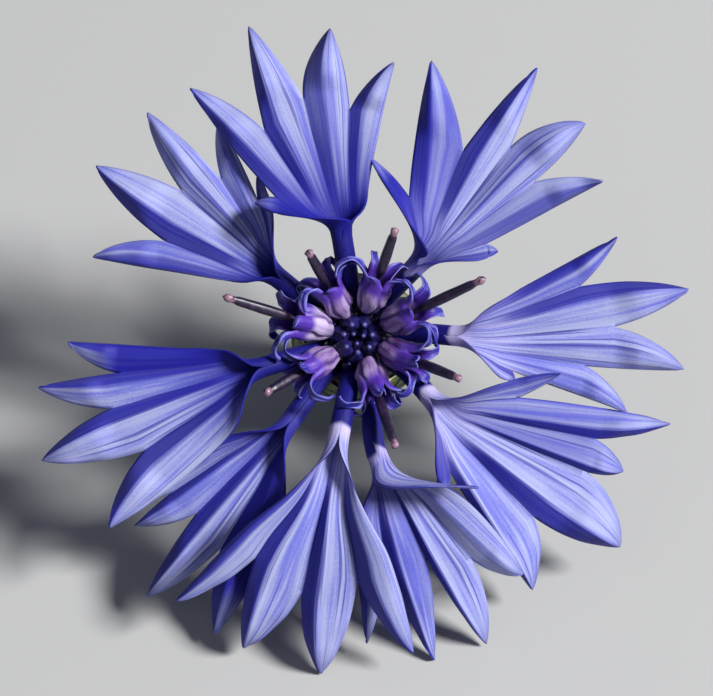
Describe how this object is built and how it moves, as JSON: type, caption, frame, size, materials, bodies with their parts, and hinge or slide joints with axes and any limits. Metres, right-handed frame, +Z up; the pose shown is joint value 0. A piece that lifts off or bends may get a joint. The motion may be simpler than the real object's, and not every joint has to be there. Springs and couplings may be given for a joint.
{
  "type": "cornflower head",
  "caption": "Blue cornflower head lying face up on its cut stem stub, with lobed trumpet ray florets, curled disc florets and a scaly cup.",
  "frame": {"origin": "on the surface that the head lies on, under the middle of its bounding box", "axes": "+Z up from that surface; +Y towards the raised back edge of the head, so the head faces up and towards -Y; +X to the right seen from the front, along the head's widest span"},
  "size_m": [0.0454, 0.033, 0.0322],
  "materials": {
    "ray_blue": "velvety, finely veined petal",
    "disc_violet": "satin petal",
    "anther_purple": "slightly glossy",
    "bud_navy": "slightly glossy petal",
    "bract_green": "matt, with dark fringed edges",
    "stem_green": "matt, ribbed"
  },
  "bodies": {
    "root": {"ray_floret_1": "ray_blue", "ray_floret_2": "ray_blue", "ray_floret_3": "ray_blue", "ray_floret_4": "ray_blue", "ray_floret_5": "ray_blue", "ray_floret_6": "ray_blue", "ray_floret_7": "ray_blue", "ray_floret_8": "ray_blue", "ray_floret_9": "ray_blue", "disc_floret_1": "disc_violet", "disc_floret_2": "disc_violet", "disc_floret_3": "disc_violet", "disc_floret_4": "disc_violet", "disc_floret_5": "disc_violet", "disc_floret_6": "disc_violet", "disc_floret_7": "disc_violet", "anther_column_1": "anther_purple", "anther_column_2": "anther_purple", "anther_column_3": "anther_purple", "anther_column_4": "anther_purple", "anther_column_5": "anther_purple", "anther_column_6": "anther_purple", "anther_column_7": "anther_purple", "bud_cluster": "bud_navy", "involucre": "bract_green", "stem": "stem_green"}
  },
  "joints": []
}
